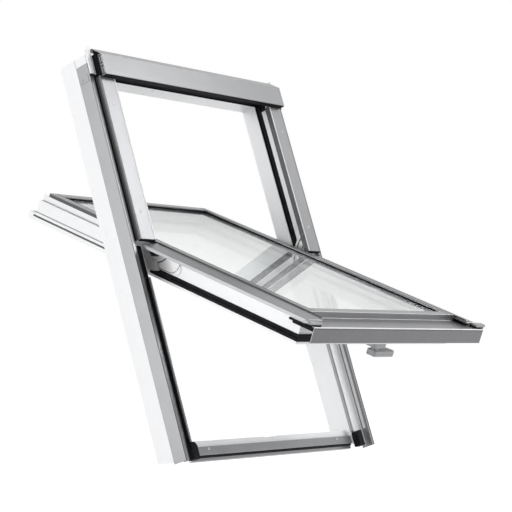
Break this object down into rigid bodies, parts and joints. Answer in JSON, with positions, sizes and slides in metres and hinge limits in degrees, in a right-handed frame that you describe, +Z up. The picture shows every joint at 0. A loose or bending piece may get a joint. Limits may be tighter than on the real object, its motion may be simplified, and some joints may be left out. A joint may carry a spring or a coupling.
{
  "type": "roof window",
  "caption": "Centre-pivot roof window: white PVC frame and sash, grey aluminium outer covers, arc-track hinges and a lever handle at the foot of the sash.",
  "frame": {"origin": "middle of the sill rail's room face", "axes": "+X to the right seen from outside, +Z up, -Y outwards; the frame leans back at the roof pitch of 71 degrees"},
  "size_m": [0.7432, 0.9112, 0.978],
  "materials": {
    "pvc_white": "smooth white PVC",
    "cover_grey": "matt grey painted aluminium sheet",
    "seal_black": "black rubber and foam",
    "steel": "zinc plated",
    "spacer_metal": "mill finish",
    "glass": "clear",
    "handle_grey": "light grey lacquer"
  },
  "bodies": {
    "frame": {"cover_clips": "steel", "frame_head_rail": "pvc_white", "frame_jamb_left": "pvc_white", "frame_jamb_right": "pvc_white", "frame_sill_rail": "pvc_white", "head_seal": "seal_black", "hinge_track_left": "steel", "hinge_track_right": "steel", "hood_end_block_left": "seal_black", "hood_end_block_right": "seal_black", "hood_foam_bar": "seal_black", "hood_side_plate_left": "pvc_white", "hood_side_plate_right": "pvc_white", "jamb_cover_left": "cover_grey", "jamb_cover_right": "cover_grey", "lower_corner_blocks": "seal_black", "lower_seal_left": "seal_black", "lower_seal_right": "seal_black", "raised_cover_left": "cover_grey", "raised_cover_right": "cover_grey", "sill_cover": "cover_grey", "sill_seal": "seal_black", "striker_plate": "steel", "top_hood": "cover_grey", "track_screws": "steel", "trough_seals": "seal_black", "upper_corner_blocks": "seal_black", "upper_riser_left": "pvc_white", "upper_riser_right": "pvc_white", "upper_seal_left": "seal_black", "upper_seal_right": "seal_black"},
    "sash": {"bottom_cover": "cover_grey", "bottom_trim": "cover_grey", "cover_web_left": "pvc_white", "cover_web_right": "pvc_white", "glass_inner_pane": "glass", "glass_outer_pane": "glass", "glass_spacer": "spacer_metal", "glazing_seal": "seal_black", "hinge_screws": "steel", "lock_case": "handle_grey", "sash_bottom_rail": "pvc_white", "sash_foot_seal": "seal_black", "sash_hinge_left": "steel", "sash_hinge_right": "steel", "sash_side_seal_left": "seal_black", "sash_side_seal_right": "seal_black", "sash_stile_left": "pvc_white", "sash_stile_right": "pvc_white", "sash_top_rail": "pvc_white", "side_cover_caps": "cover_grey", "side_cover_left": "cover_grey", "side_cover_right": "cover_grey", "side_guide_bars": "seal_black", "side_trim_left": "cover_grey", "side_trim_right": "cover_grey", "top_trim": "cover_grey"},
    "handle": {"handle_lever": "handle_grey"},
    "bolt": {"lock_bolt": "steel"}
  },
  "joints": [
    {"name": "sash_pivot", "type": "hinge", "parent": "frame", "child": "sash", "pos_m": [0, 0.05464, 0.49043], "axis": [1, 0, 0], "range_deg": [-93.5, 50.5]},
    {"name": "handle_turn", "type": "hinge", "parent": "sash", "child": "handle", "pos_m": [0.056, -0.30281, 0.24148], "axis": [0, -0.3502, 0.9367], "range_deg": [0, 90]},
    {"name": "bolt_slide", "type": "slide", "parent": "sash", "child": "bolt", "axis": [0, -0.9367, -0.3502], "range_m": [0, 0.014]}
  ],
  "couplings": [
    {"joint": "bolt_slide", "follows": "handle_turn", "m_per_rad": 0.008913}
  ]
}
